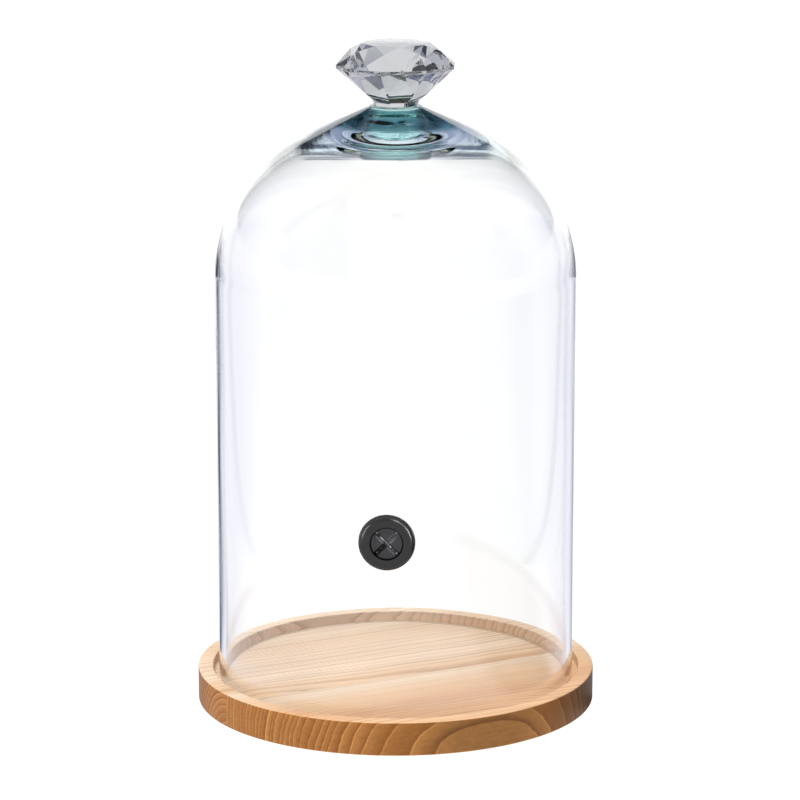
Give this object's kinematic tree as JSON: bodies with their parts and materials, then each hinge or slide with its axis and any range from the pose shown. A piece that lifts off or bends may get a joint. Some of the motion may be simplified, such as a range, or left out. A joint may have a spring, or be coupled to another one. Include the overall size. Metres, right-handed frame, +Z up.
{
  "type": "bell jar dome",
  "caption": "Glass bell dome with a faceted crystal knob and a cross-slit smoke port in its wall, resting in the turned recess of a round wooden board; keeps smoke over food on show.",
  "frame": {"origin": "centre of the board's underside", "axes": "+Z up along the dome's axis; -Y through the middle of the smoke port"},
  "size_m": [0.2, 0.2, 0.3324],
  "materials": {
    "ash": "sanded and oiled",
    "clear_glass": "fire polished, clear",
    "crystal": "cut and polished",
    "clear_adhesive": "clear, cured",
    "black_silicone": "satin"
  },
  "bodies": {
    "board": {"base_rear_stave": "ash", "base_front_stave": "ash"},
    "dome": {"glass_dome": "clear_glass", "knob_bond": "clear_adhesive", "crystal_knob": "crystal", "port_grommet": "black_silicone"},
    "flap_top": {"port_flap_top": "black_silicone"},
    "flap_right": {"port_flap_right": "black_silicone"},
    "flap_bottom": {"port_flap_bottom": "black_silicone"},
    "flap_left": {"port_flap_left": "black_silicone"}
  },
  "joints": [
    {"name": "dome_lift", "type": "slide", "parent": "board", "child": "dome", "axis": [0, 0, 1], "range_m": [0, 0.3]},
    {"name": "flap_top_hinge", "type": "hinge", "parent": "dome", "child": "flap_top", "pos_m": [0, -0.0903, 0.1095], "axis": [1, 0, 0], "range_deg": [0, 75], "stiffness_Nm_per_rad": 0.001},
    {"name": "flap_right_hinge", "type": "hinge", "parent": "dome", "child": "flap_right", "pos_m": [0.0055, -0.0903, 0.104], "axis": [0, 0, -1], "range_deg": [0, 75], "stiffness_Nm_per_rad": 0.001},
    {"name": "flap_bottom_hinge", "type": "hinge", "parent": "dome", "child": "flap_bottom", "pos_m": [0, -0.0903, 0.0985], "axis": [-1, 0, 0], "range_deg": [0, 75], "stiffness_Nm_per_rad": 0.001},
    {"name": "flap_left_hinge", "type": "hinge", "parent": "dome", "child": "flap_left", "pos_m": [-0.0055, -0.0903, 0.104], "axis": [0, 0, 1], "range_deg": [0, 75], "stiffness_Nm_per_rad": 0.001}
  ],
  "couplings": [
    {"joint": "flap_right_hinge", "follows": "flap_top_hinge", "ratio": 1},
    {"joint": "flap_bottom_hinge", "follows": "flap_top_hinge", "ratio": 1},
    {"joint": "flap_left_hinge", "follows": "flap_top_hinge", "ratio": 1}
  ]
}
